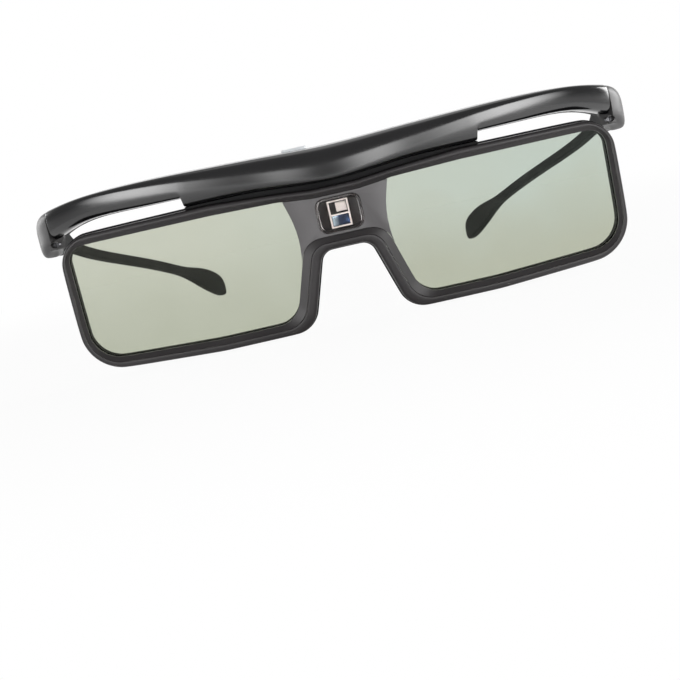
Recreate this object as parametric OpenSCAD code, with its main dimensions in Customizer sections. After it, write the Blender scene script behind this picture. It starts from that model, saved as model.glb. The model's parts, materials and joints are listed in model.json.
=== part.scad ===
// Active shutter glasses: two liquid crystal lenses in a rim, a hollow brow bar
// over them that holds the electronics, and two folding temples.
// X runs across the face, Y from the front to the back, Z up. The rims and the
// temple tips stand on Z = 0.

/* [Rim] */
// How far the sides of the front rim lie inside the brow's ends
rim_inset = 4; // [3:0.1:5.5]
// Height of the rim's top edge along the slots
rim_top_z = 39.35; // [38:0.05:39.6]
// How much lower the rim's top edge lies over the nose
rim_dip = 2.1; // [0.5:0.1:2.5]
// Width of the rim border at the outer sides
side_border = 2.6; // [2.5:0.05:3.6]
// Height of the rim border under the lenses
sill_h = 3.25; // [2.9:0.05:4.4]
// Height of the rim border over the lenses
lintel_h = 2.9; // [2.7:0.1:4]
// Radius of the rim's upper outer corners
rim_corner_r = 8.3; // [6:0.1:10]
// Radius of the rim's lower outer corners
rim_foot_r = 11.5; // [8:0.1:12.5]
// Depth of the front rim from its crest to its back face
front_rim_d = 4.3; // [4.2:0.1:4.6]
// Depth of the rear rim
rear_rim_d = 3.3; // [3:0.1:4.5]
// How far the rear rim stands out round the front rim
shadow_step = 0.4; // [0.2:0.1:0.6]
// Gap between the front and rear halves, where the shutter tails pass
parting_gap = 0.4; // [0.3:0.05:0.5]

/* [Nose notch] */
// Half width of the nose notch at its top
notch_top_x = 6.7; // [5.5:0.1:8]
// Half width of the nose notch at the resting face
notch_foot_x = 13.05; // [11.5:0.05:15]
// Height of the nose notch
notch_top_z = 20.7; // [17.5:0.1:20.9]
// Width of the rim border beside the nose notch
notch_border = 4.1; // [3.8:0.1:4.8]
// Height of the rim border over the nose notch
notch_lintel_h = 3.4; // [3:0.1:3.6]

/* [Lenses] */
// How far the lens edges sit under the rim
lens_tuck = 1.2; // [0.8:0.1:1.3]
// Thickness of the liquid crystal glass cell
cell_t = 1.2; // [1:0.05:1.3]
// Thickness of each polariser film
film_t = 0.25; // [0.15:0.05:0.3]

/* [Receiver] */
// Width of the receiver window
window_w = 12.3; // [10:0.1:13]
// Height of the receiver window
window_h = 9.4; // [8.8:0.1:9.5]
// Corner radius of the receiver window
window_r = 2.4; // [1.5:0.1:3]
// Wall of the receiver window
window_wall = 0.8; // [0.5:0.1:1]
// Width of the receiver housing
housing_w = 5.6; // [5.2:0.1:7]
// Height of the receiver housing
housing_h = 7.4; // [7:0.1:7.5]
// Rim of the receiver housing round its two wells
housing_wall = 0.5; // [0.4:0.1:0.7]

/* [Brow] */
// Half width of the brow at the hinges, to the line where its covers meet
brow_half_w = 79.2; // [77.5:0.1:81]
// How far the brow's ends sweep back
brow_sweep = 15; // [12:0.5:18]
// How far the front cover bulges forward over the nose
brow_front_d = 6; // [5.5:0.1:6.5]
// How far the front cover stands out further along the middle of the nose
keel_d = 1.2; // [0.6:0.1:1.5]
// Depth of the rear cover over the nose
brow_back_d = 4.5; // [4.3:0.1:5]
// Depth of each half of the brow at its ends
brow_end_d = 3.2; // [2.8:0.1:3.6]
// Wall of the covers
brow_wall = 1.4; // [1.2:0.1:1.6]
// Height of the brow's top over the nose
brow_top_mid = 48; // [47.3:0.1:48.7]
// Height of the brow's top over the lenses
brow_top_wing = 49.4; // [48.8:0.1:49.9]
// Height of the brow's top at the hinges
brow_top_end = 45.6; // [45.2:0.1:46.4]
// Height of the brow's lower edge over the nose
brow_low_mid = 38.8; // [38.6:0.1:39.2]
// Height of the brow's lower edge over the slots
brow_low_wing = 42.6; // [42:0.1:43]
// Height of the brow's lower edge at the hinges
brow_low_end = 34; // [33.6:0.1:34.8]
// Height of the front cover's crest above its lower edge over the nose
crest_mid_h = 0.7; // [0.5:0.1:1.5]
// Height of the front cover's crest over the lenses
crest_wing_z = 46.6; // [45.9:0.1:47]
// Distance from the middle to the slots' inner ends
slot_start_x = 39.7; // [37:0.1:42]
// Depth of the brow's ends from their middle line to the hinges' side
end_in_d = 1.7; // [1.6:0.1:2.4]
// Length of the straight end blocks in front of the hinges
block_len = 6.5; // [6:0.1:8]

/* [Electronics] */
// Length of the main board
board_len = 47; // [42:0.5:48]
// Height of the main board
board_h = 4.2; // [3.8:0.1:4.3]
// Thickness of the boards
board_t = 0.8; // [0.6:0.1:1]
// Length of the battery cell
battery_len = 23; // [18:0.5:23.5]
// Height of the battery cell
battery_h = 3.2; // [2.6:0.1:3.4]
// Thickness of the battery cell
battery_t = 2.4; // [2:0.1:2.6]
// Distance of the charge socket from the middle
socket_x = 9; // [7:0.5:10]
// Width of the charge socket's mouth
socket_w = 7.4; // [7:0.1:7.8]
// Height of the charge socket's mouth
socket_h = 2.5; // [2.2:0.1:2.8]
// Distance of the power button from the middle, to the wearer's right
button_x = 8.25; // [7:0.25:12]
// Length of the power button
button_len = 6.7; // [5:0.1:8]
// Width of the power button
button_w = 2.2; // [1.8:0.1:2.4]
// Height of the power button above the brow
button_proud = 0.9; // [0.7:0.1:1.2]
// Travel of the power button
button_travel = 0.4; // [0.2:0.05:0.5]

/* [Temples] */
// Length of the temples behind the hinges
temple_len = 134; // [120:1:145]
// Distance between the middle and each temple's tip
tip_x = 46; // [42:0.5:52]
// Height of the slender arm
arm_h = 3; // [2.8:0.1:4]
// Half thickness of the slender arm
arm_d = 1.6; // [1.4:0.1:2]
// Height of the paddle at the tip
paddle_h = 8.2; // [7:0.1:9]

/* [Hinges] */
// Radius of the hinge barrels
barrel_r = 1.5; // [1.3:0.1:1.6]
// Radius of the hinge screw
screw_r = 0.6; // [0.5:0.05:0.7]
// Radius of the hinge screw's head
head_r = 1.1; // [1:0.05:1.2]
// Thickness of the hinge leaves
leaf_t = 1; // [0.8:0.1:1.2]
// Length of the hinge leaves
leaf_len = 4.2; // [3.4:0.1:4.2]
// Height of the hinge
leaf_h = 4.4; // [4:0.1:4.6]

/* [Hidden] */

// General clearances
fit_gap = 0.05;
run_gap = 0.3;
bore_gap = 0.04;
// Smoothness of the rounded outlines, of the bulged sections and of drilled holes
arc_steps = 7;
bulge_steps = 12;
$fn = 32;

// Depths, counted back from the rim's crest
lip_back_y = 2.1;
lens_y = lip_back_y + fit_gap;
lens_back_y = lens_y + 2 * film_t + cell_t;
rear_rim_y = front_rim_d + parting_gap;
rear_face_y = rear_rim_y + rear_rim_d;
part_y = front_rim_d + parting_gap / 2;
brow_end_y = part_y + brow_sweep;
block_face_y = brow_end_y + block_len;
hinge_y = block_face_y + run_gap / 2;
temple_y = block_face_y + run_gap;
tip_y = temple_y + temple_len;
mid_y = (part_y - brow_front_d - keel_d + tip_y) / 2;

// Vector helpers
function unit(v) = v / norm(v);
function mix(a, b, k) = a + (b - a) * k;
function ease(from, to, t) = let(k = min(1, max(0, (t - from) / (to - from)))) k * k * (3 - 2 * k);
function flat(lists) = [for (list = lists) for (p = list) p];
function bezier(p, t) = p[0] * pow(1 - t, 3) + 3 * p[1] * t * pow(1 - t, 2)
    + 3 * p[2] * t * t * (1 - t) + p[3] * pow(t, 3);
function bezier_dir(p, t) = (p[1] - p[0]) * pow(1 - t, 2) + 2 * (p[2] - p[1]) * t * (1 - t)
    + (p[3] - p[2]) * t * t;

// Outlines: a corner is [x, z, radius], and a loop runs clockwise seen from the front
function point(corner) = [corner.x, corner.y];
function corner_arc(a, b, c, r) = let(
    to_a = unit(a - b),
    to_c = unit(c - b),
    half = acos(to_a * to_c) / 2,
    centre = b + unit(to_a + to_c) * r / sin(half),
    from = b + to_a * r / tan(half) - centre,
    to = b + to_c * r / tan(half) - centre,
    turn = atan2(from.x * to.y - from.y * to.x, from * to),
    start = atan2(from.y, from.x))
    [for (i = [0 : arc_steps]) let(q = start + turn * i / arc_steps) centre + r * [cos(q), sin(q)]];
function rounded(corners) = let(n = len(corners)) flat([for (i = [0 : n - 1])
    let(before = corners[(i + n - 1) % n], after = corners[(i + 1) % n])
    corner_arc(point(before), point(corners[i]), point(after), corners[i].z)]);
function both_sides(half) = concat(half,
    [for (i = [len(half) - 1 : -1 : 0]) [-half[i].x, half[i].y, half[i].z]]);
function grown(loop, d) = let(n = len(loop)) [for (i = [0 : n - 1])
    let(dir = unit(loop[(i + 1) % n] - loop[(i + n - 1) % n])) loop[i] + d * [-dir.y, dir.x]];

// Rim outlines: the top edge dips between dip_end_x and the nose, and the sides lean a little
bend_r = 25;
sill_bend_r = 80;
dip_mid_x = 6;
dip_side_x = 16;
dip_end_x = 34;
dip_side_share = 0.55;
sill_mid_x = 38;
top_lean = 0.4;
foot_lean_x = 0.7;
foot_lean_z = 2.1;
notch_foot_r = 7;
notch_top_r = 3.9;
rim_half_w = brow_half_w - rim_inset;
lens_top_z = rim_top_z - lintel_h;
sill_z = shadow_step + sill_h;
window_side_x = rim_half_w - side_border;
notch_flare = 0.15;
notch_inner = [notch_top_x + notch_border + notch_flare, notch_top_z + notch_lintel_h];
sill_inner = [notch_foot_x + notch_border, sill_z];
outer_half = [
    [dip_mid_x, rim_top_z - rim_dip, bend_r],
    [dip_side_x, rim_top_z - dip_side_share * rim_dip, bend_r],
    [dip_end_x, rim_top_z, bend_r],
    [rim_half_w, rim_top_z - top_lean, rim_corner_r],
    [rim_half_w - foot_lean_x, shadow_step + foot_lean_z, rim_foot_r],
    [sill_mid_x, shadow_step, sill_bend_r],
    [notch_foot_x, shadow_step, notch_foot_r],
    [notch_top_x, notch_top_z, notch_top_r]];
// Lens outlines: the window of a lens, and the space that the rims leave round both lenses and the bridge
lens_corner_r = 4.5;
lens_foot_r = 8.5;
lens_inner_r = 7;
lens_lean_x = 0.7;
lens_lean_z = 1.7;
lens_dip = 0.5;
bridge_dip = 1.5;
bridge_side_r = 28;
bridge_foot_r = 6;
panel_flare = 3.35;
lens_corner_x = notch_inner.x + panel_flare;
lens_outer_half = [
    [window_side_x + lens_lean_x / 2, lens_top_z, lens_corner_r],
    [window_side_x - lens_lean_x / 2, sill_z + lens_lean_z, lens_foot_r],
    [sill_mid_x, sill_z, sill_bend_r],
    [sill_inner.x, sill_inner.y, lens_inner_r]];
inner_half = concat(
    [[dip_mid_x, lens_top_z - bridge_dip, bend_r], [dip_side_x, lens_top_z - lens_dip, bend_r],
        [dip_end_x, lens_top_z, bend_r]],
    lens_outer_half,
    [[notch_inner.x, notch_inner.y, bridge_foot_r]]);
lens_point_r = 0.6;
lens_corners = concat(
    [[lens_corner_x, lens_top_z - lens_dip, lens_point_r], [dip_end_x, lens_top_z, bend_r]],
    lens_outer_half,
    [[notch_inner.x, notch_inner.y, bridge_side_r]]);
rim_outer = rounded(both_sides(outer_half));
rim_inner = rounded(both_sides(inner_half));
rear_outer = grown(rim_outer, shadow_step);
lens_window = rounded(lens_corners);

// Rim sections: [share of the way from the outer to the inner outline, depth]
seat_room = 0.7;
tongue_room = 0.1;
seat_w = lens_tuck + seat_room;
tongue_w = lens_tuck + tongue_room;
// The front rim has a crowned outer band, a small step, and a slope down to the lens
function front_section(w) = [[0, front_rim_d], [0, 1.3], [0.05, 0.6], [0.13, 0.22], [0.28, 0.04], [0.44, 0],
    [0.53, 0.06], [0.575, 0.4], [0.63, 0.5], [0.8, 0.8], [1, 1.15], [1, lip_back_y],
    [1 - seat_w / w, lip_back_y], [1 - seat_w / w, front_rim_d]];
function rear_section(w) = [[1 - tongue_w / w, rear_rim_y], [1 - tongue_w / w, lens_back_y + fit_gap],
    [1, lens_back_y + fit_gap], [1, rear_face_y - 0.6], [0.84, rear_face_y], [0.26, rear_face_y],
    [0.1, rear_face_y - 0.35], [0, rear_face_y - 1], [0, rear_rim_y]];

// Closed ring swept between two outlines
module ring(outer, inner, section) {
    n = len(outer);
    m = len(section(1));
    points = [for (i = [0 : n - 1]) for (s = section(norm(inner[i] - outer[i])))
        let(p = mix(outer[i], inner[i], s.x)) [p.x, s.y, p.y]];
    faces = [for (i = [0 : n - 1], j = [0 : m - 1])
        let(row = i * m, next = (i + 1) % n * m, k = (j + 1) % m,
            a = row + j, b = row + k, c = next + j, d = next + k)
        each [[a, d, b], [a, c, d]]];
    polyhedron(points, faces);
}

// Solid swept through rows of points, closed at both ends
module loft(rows) {
    n = len(rows);
    m = len(rows[0]);
    sides = [for (i = [0 : n - 2], j = [0 : m - 1])
        let(a = i * m + j, b = i * m + (j + 1) % m, c = a + m, d = b + m)
        each [[a, b, d], [a, d, c]]];
    first = [for (j = [m - 1 : -1 : 0]) j];
    last = [for (j = [0 : m - 1]) (n - 1) * m + j];
    polyhedron(flat(rows), concat(sides, [first, last]));
}

// Flat plate of a front-view outline between two depths
module plate(y0, y1) translate([0, y1, 0]) rotate([90, 0, 0]) linear_extrude(y1 - y0) children();
// Box given by its low and high corners
module box(low, high) translate(low) cube(high - low);
// The finished place of every piece, with the origin under the middle of the object
module placed() translate([0, -mid_y, 0]) children();
// The same piece on the other side of the face
module other_side() mirror([1, 0, 0]) children();

// Brow: the line where its covers meet, seen from above, and its edges along that line
sweep_share = 0.565;
brow_path = [[0, part_y], [sweep_share * brow_half_w, part_y],
    [brow_half_w, part_y], [brow_half_w, brow_end_y]];
cover_end = 0.8;
keel_half_w = 22;
edge_step = 0.002;
function brow_at(t) = let(q = bezier(brow_path, abs(t))) [sign(t) * q.x, q.y];
function brow_dir(t) = let(d = bezier_dir(brow_path, abs(t))) [d.x, (t < 0 ? -1 : 1) * d.y];
function brow_t(x, low = 0, high = 1, n = 24) = let(t = (low + high) / 2)
    n == 0 ? t : bezier(brow_path, t).x < x ? brow_t(x, t, high, n - 1) : brow_t(x, low, t, n - 1);
function spline(knots, t) = let(
    n = len(knots) - 1,
    i = min(n - 1, floor(t * n)),
    k = t * n - i,
    before = knots[max(0, i - 1)],
    after = knots[min(n, i + 2)],
    a = (knots[i + 1] - before) / 2,
    b = (after - knots[i]) / 2,
    rise = knots[i + 1] - knots[i])
    knots[i] + a * k + (3 * rise - 2 * a - b) * k * k + (a + b - 2 * rise) * k * k * k;
slot_t = brow_t(slot_start_x);
wall_t = brow_wall / norm(3 * bezier_dir(brow_path, slot_t));
// Heights in equal steps along that line, from the middle to the ends
front_drop = [0.6, 0.35, 0, 0.3, 3.6, 5.6];
rear_drop = [0.6, 0.35, 0.15, 0.45];
rear_end_rise = 4.9;
top_drop = 0.45;
top_knots = [brow_top_mid, mix(brow_top_mid, brow_top_wing, 0.6), brow_top_wing,
    brow_top_wing - top_drop, mix(brow_top_end, brow_top_wing, 0.42), brow_top_end];
wing_knots = [for (d = front_drop) brow_low_wing - d];
rear_knots = concat([for (d = rear_drop) brow_low_wing - d], [brow_low_end + rear_end_rise, brow_low_end]);
rail_h = 0.3;
rail_z = rim_top_z + shadow_step + rail_h;
crest_mid_z = brow_low_mid + crest_mid_h;
end_mid_z = (brow_low_end + brow_top_end) / 2;
crest_knots = [crest_mid_z, mix(crest_mid_z, crest_wing_z, 0.46), mix(crest_mid_z, crest_wing_z, 0.85),
    crest_wing_z, mix(crest_wing_z, end_mid_z, 0.3), end_mid_z];
function brow_crest(t) = spline(crest_knots, abs(t));
function brow_top(t) = spline(top_knots, abs(t));
dip_t = 0.2;
function mid_low(t) = mix(brow_low_mid, rail_z + 2 * fit_gap, ease(0, dip_t, abs(t)));
function front_low(t) = abs(t) < slot_t ? mid_low(t) : spline(wing_knots, abs(t));
function rear_low(t) = abs(t) < slot_t ? mid_low(t) : spline(rear_knots, abs(t));
keel_t = brow_t(keel_half_w);
function front_depth(t) = mix(brow_front_d, brow_end_d, ease(0.3, 1, abs(t)))
    + keel_d * (1 - ease(0, keel_t, abs(t)));
function back_depth(t) = mix(brow_back_d, brow_end_d, ease(0.3, 1, abs(t)));

// A point off a line seen from above: out is forward or outward, z is its height
function beside(at, dir, out, z) = let(n = unit([dir.y, -dir.x])) [at.x + n.x * out, at.y + n.y * out, z];
// Half section from the bottom to the top, bulging by depth at its crest; power 2 is an ellipse and more
// is squarer
function bulge(depth, low, crest, top, power, foot_power) = [for (i = [0 : bulge_steps])
    let(a = -90 + 180 * i / bulge_steps, p = a < 0 ? foot_power : power)
    [depth * pow(abs(cos(a)), 2 / p), mix(crest, a < 0 ? low : top, pow(abs(sin(a)), 2 / p))]];
function reversed(list) = [for (i = [len(list) - 1 : -1 : 0]) list[i]];
power_knots = [3, 3.2, 4.4, 4.5, 3.2, 2.6];
function front_power(t) = spline(power_knots, abs(t));
block_power = 2.3;
block_foot_power = 4.5;
back_power = 5;

// Stations of the covers, with a pair at each step of the slots and of the wall behind it
mid_stations = 8;
wing_stations = 13;
half_stations = concat(
    [for (i = [0 : mid_stations]) (slot_t - wall_t - edge_step) * i / mid_stations],
    [slot_t - wall_t + edge_step, slot_t - edge_step],
    [for (i = [0 : wing_stations]) mix(slot_t + edge_step, cover_end, i / wing_stations)]);
stations = concat([for (i = [len(half_stations) - 1 : -1 : 1]) -half_stations[i]], half_stations);

// Shell section of one cover: side is 1 for the front cover and -1 for the rear one
function cover_row(t, side) = let(
    power = side > 0 ? front_power(t) : back_power,
    depth = (side > 0 ? front_depth(t) : back_depth(t)) - parting_gap / 2,
    low = side > 0 ? front_low(t) : rear_low(t),
    past = sign(t) * (abs(t) + wall_t),
    low_in = brow_wall + max(low, side > 0 ? front_low(past) : rear_low(past)),
    top_in = brow_top(t) - brow_wall,
    crest = side > 0 ? brow_crest(t) : (low + brow_top(t)) / 2,
    crest_in = side > 0 ? max(crest, low_in + brow_wall / 2) : (low_in + top_in) / 2,
    skin = bulge(depth, low, crest, brow_top(t), power, power),
    inside = bulge(depth - brow_wall, low_in, crest_in, top_in, power, power))
    [for (s = concat(skin, reversed(inside)))
        beside(brow_at(t), brow_dir(t), side * (s.x + parting_gap / 2), s.y)];
module cover(side) loft([for (t = side > 0 ? stations : reversed(stations)) cover_row(t, side)]);

// Full section of an end block or a temple, as an outer and an inner half
function full_section(out, back, low, crest, top) = concat(
    bulge(out, low, crest, top, block_power, block_foot_power),
    [for (i = [bulge_steps - 1 : -1 : 1])
        let(s = bulge(back, low, (low + top) / 2, top, back_power, back_power)[i]) [-s.x, s.y]]);

// Front frame

module front_rim() color("#26262a") placed() ring(rim_outer, rim_inner, function(w) front_section(w));

module rear_rim() color("#1d1d20") placed() ring(rear_outer, rim_inner, function(w) rear_section(w));

// The space between the lenses inside the rims, seen from the front
module bridge_outline(gap) difference() {
    polygon(grown(rim_inner, -gap));
    polygon(lens_window);
    mirror([1, 0]) polygon(lens_window);
}

panel_y = 1.2;
panel_gap = 0.1;
window_z = (notch_inner.y + lens_top_z - bridge_dip) / 2;
window_corners = [for (c = [[-1, 1], [1, 1], [1, -1], [-1, -1]])
    [c.x * window_w / 2, window_z + c.y * window_h / 2, window_r]];
window_loop = rounded(window_corners);

module bridge_panel() color("#55555a") placed() plate(panel_y, lip_back_y) difference() {
    bridge_outline(panel_gap);
    polygon(grown(window_loop, fit_gap));
}

// Back cover of the bridge, with ribs that hold the inner edges of the lenses
back_cover_t = 1.4;
rib_w = 1.8;
rib_in = 1.2;
board_half_w = notch_inner.x - rib_w - run_gap;
module bridge_back_cover() color("#1d1d20") placed() {
    plate(rear_face_y - back_cover_t, rear_face_y) bridge_outline(panel_gap);
    for (side = [-1, 1])
        plate(lens_back_y + fit_gap, rear_face_y - back_cover_t) intersection() {
            bridge_outline(panel_gap);
            translate([side * (notch_inner.x + rib_in), window_z])
                square([2 * rib_w, window_h], center = true);
        }
}

// Receiver in the bridge
window_proud = 0.3;
window_y = panel_y - window_proud;
board_y = rear_face_y - back_cover_t - board_t - fit_gap;
module receiver_window() color([0.8, 0.82, 0.85, 0.5]) placed() {
    plate(window_y, window_y + window_wall) polygon(window_loop);
    plate(window_y + window_wall, board_y - fit_gap) difference() {
        polygon(window_loop);
        polygon(grown(window_loop, -window_wall));
    }
}

// White housing with an upper and a lower well
housing_gap = 0.5;
housing_y = window_y + window_wall + housing_gap;
housing_low = window_z - housing_h / 2;
housing_top = window_z + housing_h / 2;
well_offset = 0.2;
well_split_z = window_z - well_offset;
well_floor = 0.8;
module receiver_housing() color("#e6e6e6") placed() difference() {
    box([-housing_w / 2, housing_y, housing_low], [housing_w / 2, board_y, housing_top]);
    for (well = [[housing_low + housing_wall, well_split_z - housing_wall / 2],
                 [well_split_z + housing_wall / 2, housing_top - housing_wall]])
        box([housing_wall - housing_w / 2, housing_y - 1, well[0]],
            [housing_w / 2 - housing_wall, board_y - well_floor, well[1]]);
}

die_sink = 0.4;
module photodiode() color("#202838") placed()
    box([housing_wall - housing_w / 2 + fit_gap, housing_y + die_sink, housing_low + housing_wall + fit_gap],
        [housing_w / 2 - housing_wall - fit_gap, board_y - well_floor,
            well_split_z - housing_wall / 2 - fit_gap]);

chip_w = 2.9;
chip_sink = 0.7;
chip_gap = [0.4, 0.3];
module receiver_chip() color("#f2f2f2") placed()
    box([housing_w / 2 - housing_wall - fit_gap - chip_w, housing_y + chip_sink,
            well_split_z + housing_wall / 2 + chip_gap[0]],
        [housing_w / 2 - housing_wall - fit_gap, board_y - well_floor,
            housing_top - housing_wall - chip_gap[1]]);

module receiver_board() color("#20402c") placed()
    box([-board_half_w, board_y, window_z - window_h / 2],
        [board_half_w, board_y + board_t, window_z + window_h / 2]);

// Lenses
module lens_plate(y, t) placed() plate(y, y + t) polygon(grown(lens_window, lens_tuck));
module front_polariser() color([0.76, 0.78, 0.71, 0.5]) lens_plate(lens_y, film_t);
module lens_cell() color([0.76, 0.78, 0.71, 0.5]) lens_plate(lens_y + film_t, cell_t);
module rear_polariser() color([0.76, 0.78, 0.71, 0.5]) lens_plate(lens_y + film_t + cell_t, film_t);

// Flexible tail from the top edge of a lens up through the parting gaps into the brow
tail_x = 17;
tail_w = 5;
tail_t = 0.12;
tail_offset = 0.01;
tail_y = part_y + tail_offset;
tail_gap = 0.22;
tail_rise = 5;
tail_low_z = lens_top_z - lens_dip + lens_tuck + tail_gap;
tail_top_z = brow_low_mid + tail_rise;
module shutter_tail() color("#b87a2c") placed() {
    box([tail_x - tail_w / 2, lens_y + film_t, tail_low_z],
        [tail_x + tail_w / 2, tail_y + tail_t, tail_low_z + tail_t]);
    box([tail_x - tail_w / 2, tail_y, tail_low_z], [tail_x + tail_w / 2, tail_y + tail_t, tail_top_z]);
}

// Brow

module brow_front_cover() color("#17171a") placed() cover(1);

button_edge = 0.4;
button_y = part_y + parting_gap / 2 + button_edge + button_w / 2;
button_seat_z = brow_top(0) - brow_wall;
board_at_t = 0.15;
socket_lift = 0.5;
socket_z = mid_low(board_at_t) + brow_wall + socket_lift + socket_h / 2;
module brow_rear_cover() color("#222226") placed() difference() {
    cover(-1);
    translate([-button_x, button_y, button_seat_z])
        cube([button_len + 2 * run_gap, button_w + 2 * run_gap, 4 * brow_wall], center = true);
    translate([socket_x, part_y + brow_back_d, socket_z])
        cube([socket_w + 2 * run_gap, 4 * brow_wall, socket_h + 2 * run_gap], center = true);
}

// Rail that fills the space between the brow and the rims over the nose
rail_y = 1.4;
rail_back_y = rear_face_y - 2 * run_gap;
rail_steps = 16;
rail_end_x = slot_start_x;
module rail_outline(step) difference() {
    polygon(concat(
        [[-rail_end_x, lens_top_z], [rail_end_x, lens_top_z]],
        [for (i = [rail_steps : -1 : -rail_steps])
            let(x = rail_end_x * i / rail_steps) [x, mid_low(brow_t(abs(x))) - fit_gap]]));
    polygon(grown(rim_outer, step + fit_gap));
}
module brow_rail() color("#2c2c30") placed() difference() {
    union() {
        plate(rail_y, part_y) rail_outline(0);
        plate(part_y, rail_back_y) rail_outline(shadow_step);
    }
    for (side = [-1, 1])
        translate([side * tail_x, part_y, brow_low_mid])
            cube([tail_w + 2 * run_gap, parting_gap, 4 * brow_wall], center = true);
}

// Rounded end of the brow beyond the front cover, up to the hinge
seam_t = 0.006;
block_stations = 9;
block_rows = 3;
block_rise = 2.2;
block_thin = 1.5;
function block_low(t) = brow_low_end + block_rise * (1 - ease(cover_end, 1, t));
function block_back(t) = mix(block_thin, end_in_d, ease(cover_end, 1, t));
function block_row(t, straight) =
    [for (s = full_section(front_depth(t), block_back(t), block_low(t), brow_crest(t), brow_top(t)))
        beside(brow_at(t) + [0, straight], brow_dir(t), s.x, s.y)];
// Foot of the end block that runs forward under the end of the front cover
foot_start = 0.765;
foot_full = 0.785;
foot_end = 0.83;
foot_rows = 8;
foot_thin = 0.8;
foot_share = 0.86;
foot_power = 7;
function foot_grow(t) = ease(foot_start, foot_full, t);
function foot_depth(t) = mix(foot_thin, foot_share * front_depth(t), foot_grow(t));
function foot_row(t) = let(
        low = mix(front_low(t) - foot_thin, block_low(t), foot_grow(t)),
        top = front_low(t) - 2 * fit_gap)
    [for (s = bulge(foot_depth(t), low, (low + top) / 2, top, foot_power, foot_power))
        beside(brow_at(t), brow_dir(t), s.x, s.y)];
// Screw in an oval recess of the foot
screw_t = 0.795;
screw_z = (block_low(screw_t) + front_low(screw_t)) / 2;
recess_r = 0.75;
recess_long = 1.9;
recess_d = 1.4;
module at_screw() {
    at = beside(brow_at(screw_t), brow_dir(screw_t), foot_depth(screw_t), screw_z);
    turn = atan2(brow_dir(screw_t).y, brow_dir(screw_t).x);
    translate(at) rotate([0, 0, turn]) rotate([90, 0, 0]) children();
}
module end_block() color("#202024") placed() difference() {
    union() {
        loft(concat(
            [for (i = [0 : block_stations]) block_row(mix(cover_end + seam_t, 1, i / block_stations), 0)],
            [for (i = [1 : block_rows]) block_row(1, block_len * i / block_rows)]));
        loft([for (i = [0 : foot_rows]) foot_row(mix(foot_start, foot_end, i / foot_rows))]);
    }
    at_screw() translate([0, 0, -recess_d]) scale([recess_long, 1, 1])
        cylinder(r = recess_r, h = 3 * recess_d);
}

screw_head_h = 0.7;
screw_slot_w = 0.3;
module cover_screw() placed() at_screw() translate([0, 0, -recess_d]) difference() {
    scale([recess_long, 1, 1]) cylinder(r = recess_r - 2 * fit_gap, h = screw_head_h);
    translate([-screw_slot_w / 2, -recess_r, screw_head_h / 2])
        cube([screw_slot_w, 2 * recess_r, screw_head_h]);
}
module cover_screws() color("#8a8a90") {
    cover_screw();
    other_side() cover_screw();
}

// Electronics in the brow: the tails lie on the back of the main board
board_left_x = 27;
main_y = tail_y - fit_gap - board_t;
main_back_y = main_y + board_t;
board_lift = 0.4;
main_z = mid_low(board_at_t) + brow_wall + board_lift;
module main_board() color("#1f4a30") placed()
    box([board_left_x - board_len, main_y, main_z], [board_left_x, main_back_y, main_z + board_h]);

chip_size = 3.4;
chip_h = 0.9;
module controller_chip() color("#141414") placed()
    translate([0, main_y - chip_h / 2, main_z + board_h / 2])
        cube([chip_size, chip_h, chip_size], center = true);

// Battery in front of the board's right end, up to the wall at the slot
battery_gap = 0.7;
battery_lift = 0.8;
battery_end_x = -(slot_start_x - brow_wall - battery_gap);
battery_z = mid_low(dip_t) + brow_wall + battery_lift + battery_h / 2;
module battery_cell() color("#9aa0a8") placed()
    box([battery_end_x, main_y - fit_gap - battery_t, battery_z - battery_h / 2],
        [battery_end_x + battery_len, main_y - fit_gap, battery_z + battery_h / 2]);

// Charge socket: a folded shell with its tongue, facing back
socket_wall = 0.3;
socket_floor = 1;
tongue_side = 1.2;
tongue_t = 0.6;
socket_back_y = part_y + brow_back_d - run_gap;
module charge_socket() color("#b8bcc0") placed() {
    difference() {
        translate([socket_x, main_back_y, socket_z])
            box([-socket_w / 2, 0, -socket_h / 2], [socket_w / 2, socket_back_y - main_back_y, socket_h / 2]);
        translate([socket_x, main_back_y + socket_floor, socket_z])
            box([socket_wall - socket_w / 2, 0, socket_wall - socket_h / 2],
                [socket_w / 2 - socket_wall, socket_back_y, socket_h / 2 - socket_wall]);
    }
    translate([socket_x, main_back_y + socket_floor - 2 * fit_gap, socket_z])
        box([tongue_side - socket_w / 2, 0, -tongue_t / 2],
            [socket_w / 2 - tongue_side, socket_back_y - main_back_y - 1.5 * tongue_side, tongue_t / 2]);
}

// Push switch behind the board's top edge, under the button
flange_w = 0.5;
flange_trim = 0.4;
flange_h = 0.5;
button_top_z = brow_top(0) + button_proud;
button_low_z = brow_top(0) - brow_wall - run_gap - flange_h;
switch_top_z = button_low_z - button_travel - run_gap;
switch_w = 4;
switch_h = 2;
plunger_base = 0.6;
plunger_room = 0.1;
plunger_r = 0.7;
plunger_floor_z = switch_top_z - switch_h + plunger_base;
plunger_low_z = plunger_floor_z + button_travel + plunger_room;
module push_switch() color("#2a2a2a") placed() difference() {
    box([-button_x - switch_w / 2, main_back_y, switch_top_z - switch_h],
        [-button_x + switch_w / 2, button_y + button_w / 2, switch_top_z]);
    translate([-button_x, button_y, plunger_floor_z])
        cylinder(r = plunger_r + bore_gap, h = switch_h);
}

module switch_plunger() color("#d8d8d8") placed() translate([-button_x, button_y, plunger_low_z])
    cylinder(r = plunger_r, h = button_low_z - plunger_low_z);

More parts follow.
